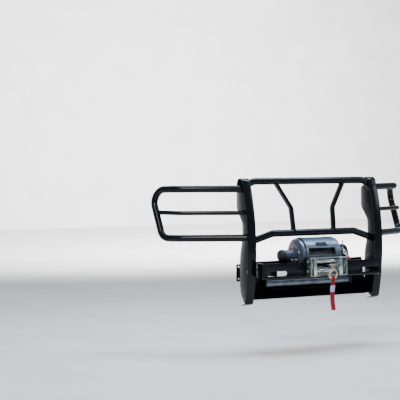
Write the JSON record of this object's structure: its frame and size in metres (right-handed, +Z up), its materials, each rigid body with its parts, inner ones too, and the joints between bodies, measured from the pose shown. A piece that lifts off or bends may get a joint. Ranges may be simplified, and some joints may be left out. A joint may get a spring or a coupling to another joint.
{
  "type": "front grille guard",
  "caption": "Black steel grille guard for a pickup's front end, with headlight cages, drilled frame brackets and a tray that carries an electric winch, roller fairlead and hook.",
  "frame": {"origin": "midway between the rear faces of the two frame brackets, where the guard bolts to the truck's frame horns", "axes": "+X to the right for someone facing the front of the truck, +Y to the rear of the truck, +Z up"},
  "size_m": [2.1114, 0.8166, 0.945],
  "materials": {
    "frame_black": "satin black powder coat",
    "satin_grey": "satin grey coat, as the lower cross tube looks",
    "winch_silver": "satin silver-blue enamel",
    "dark_plastic": "moulded, lightly grained",
    "zinc_plate": "bright zinc plate",
    "bright_steel": "ground and plated",
    "rope_steel": "galvanised strands, oiled",
    "hook_steel": "forged, yellow zinc plate",
    "red_plastic": "soft moulded cap",
    "red_webbing": "woven webbing"
  },
  "bodies": {
    "guard": {"upright_flange_left": "frame_black", "upright_flange_right": "frame_black", "upright_web_left": "frame_black", "upright_web_right": "frame_black", "top_tube": "frame_black", "mid_crossbar": "frame_black", "brace_left": "frame_black", "brace_right": "frame_black", "cage_loop_left": "frame_black", "cage_loop_right": "frame_black", "cage_bar_left": "frame_black", "cage_bar_right": "frame_black", "winch_panel": "frame_black", "winch_tray": "frame_black", "tray_end_left": "frame_black", "tray_end_right": "frame_black", "frame_bracket_left": "frame_black", "frame_bracket_right": "frame_black", "lower_valance": "frame_black", "gearbox": "frame_black", "lower_tube": "satin_grey", "motor_case": "winch_silver", "drum_support_left": "winch_silver", "drum_support_right": "winch_silver", "winch_cover": "winch_silver", "motor_cap": "dark_plastic", "cover_plate": "dark_plastic", "gearbox_cap": "dark_plastic", "tray_bolt_left_upper": "zinc_plate", "tray_bolt_left_lower": "zinc_plate", "tray_bolt_right_upper": "zinc_plate", "tray_bolt_right_lower": "zinc_plate", "tie_rod_lower": "zinc_plate", "tie_rod_upper": "zinc_plate", "fairlead_frame": "zinc_plate", "roller_pin_top": "zinc_plate", "roller_pin_bottom": "zinc_plate", "roller_pin_left": "zinc_plate", "roller_pin_right": "zinc_plate", "fairlead_bolt_left": "zinc_plate", "fairlead_bolt_right": "zinc_plate", "rope_eye": "zinc_plate", "motor_terminal_a": "bright_steel", "motor_terminal_b": "bright_steel", "rope_lead": "rope_steel", "terminal_boot": "red_plastic"},
    "drum": {"drum": "winch_silver", "rope_winding": "rope_steel"},
    "clutch": {"clutch_lever": "bright_steel", "clutch_grip": "red_plastic"},
    "clutch_pin": {"clutch_pin": "bright_steel"},
    "roller_top": {"roller_top": "bright_steel"},
    "roller_bottom": {"roller_bottom": "bright_steel"},
    "roller_left": {"roller_left": "bright_steel"},
    "roller_right": {"roller_right": "bright_steel"},
    "hook": {"hook": "hook_steel", "clevis_pin": "zinc_plate"},
    "latch": {"hook_latch": "bright_steel"},
    "strap": {"strap": "red_webbing"}
  },
  "joints": [
    {"name": "drum_spin", "type": "hinge", "parent": "guard", "child": "drum", "pos_m": [0, -0.375, 0.144], "axis": [1, 0, 0], "continuous": true},
    {"name": "clutch_turn", "type": "hinge", "parent": "guard", "child": "clutch", "pos_m": [0.207, -0.453, 0.158], "axis": [0, -1, 0], "range_deg": [0, 90]},
    {"name": "clutch_pin_pull", "type": "slide", "parent": "guard", "child": "clutch_pin", "axis": [0, 0, 1], "range_m": [0, 0.012], "stiffness_N_per_m": 300, "springref_m": -0.01},
    {"name": "roller_top_spin", "type": "hinge", "parent": "guard", "child": "roller_top", "pos_m": [0, -0.537, 0.107], "axis": [1, 0, 0], "continuous": true},
    {"name": "roller_bottom_spin", "type": "hinge", "parent": "guard", "child": "roller_bottom", "pos_m": [0, -0.537, 0.039], "axis": [1, 0, 0], "continuous": true},
    {"name": "roller_left_spin", "type": "hinge", "parent": "guard", "child": "roller_left", "pos_m": [-0.106, -0.568, 0.0695], "axis": [0, 0, 1], "continuous": true},
    {"name": "roller_right_spin", "type": "hinge", "parent": "guard", "child": "roller_right", "pos_m": [0.106, -0.568, 0.0695], "axis": [0, 0, 1], "continuous": true},
    {"name": "hook_swing", "type": "hinge", "parent": "guard", "child": "hook", "pos_m": [0.015, -0.61, 0.078], "axis": [-1, 0, 0], "range_deg": [-8, 90]},
    {"name": "latch_turn", "type": "hinge", "parent": "hook", "child": "latch", "pos_m": [0.03, -0.61, 0.05], "axis": [0, 1, 0], "range_deg": [0, 35], "stiffness_Nm_per_rad": 0.03, "springref_deg": -20.05},
    {"name": "strap_swing", "type": "hinge", "parent": "hook", "child": "strap", "pos_m": [0.015, -0.61, -0.01], "axis": [-1, 0, 0], "range_deg": [-90, 8]}
  ],
  "couplings": [
    {"joint": "strap_swing", "follows": "hook_swing", "ratio": -1}
  ]
}
